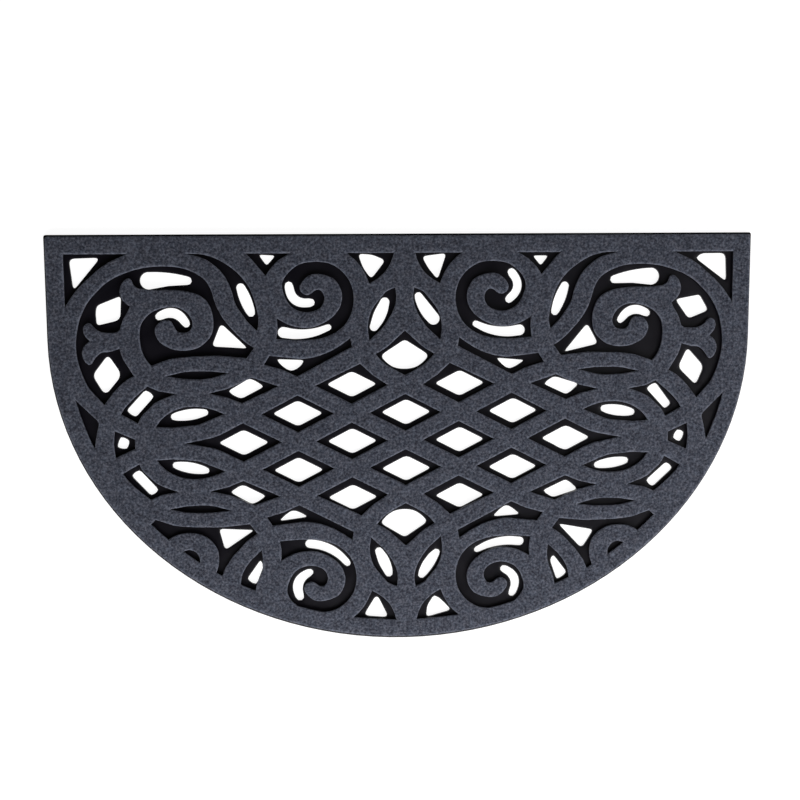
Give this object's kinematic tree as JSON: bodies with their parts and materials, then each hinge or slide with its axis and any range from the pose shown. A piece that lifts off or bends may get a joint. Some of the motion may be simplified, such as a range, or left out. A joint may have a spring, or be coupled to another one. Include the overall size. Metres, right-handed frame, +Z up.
{
  "type": "rubber doormat",
  "caption": "Half-moon rubber doormat, open scroll-and-lattice grille with flocked charcoal lands on black recessed floors, for a floor at a door",
  "frame": {"origin": "on the underside, at the centre of the rectangle round the outline", "axes": "+X along the long straight edge, +Y towards that edge, +Z up from the underside to the flocked face"},
  "size_m": [0.75, 0.44, 0.007],
  "materials": {
    "rubber": "satin",
    "flock": "matte"
  },
  "bodies": {
    "root": {"mat": "rubber"}
  },
  "joints": []
}
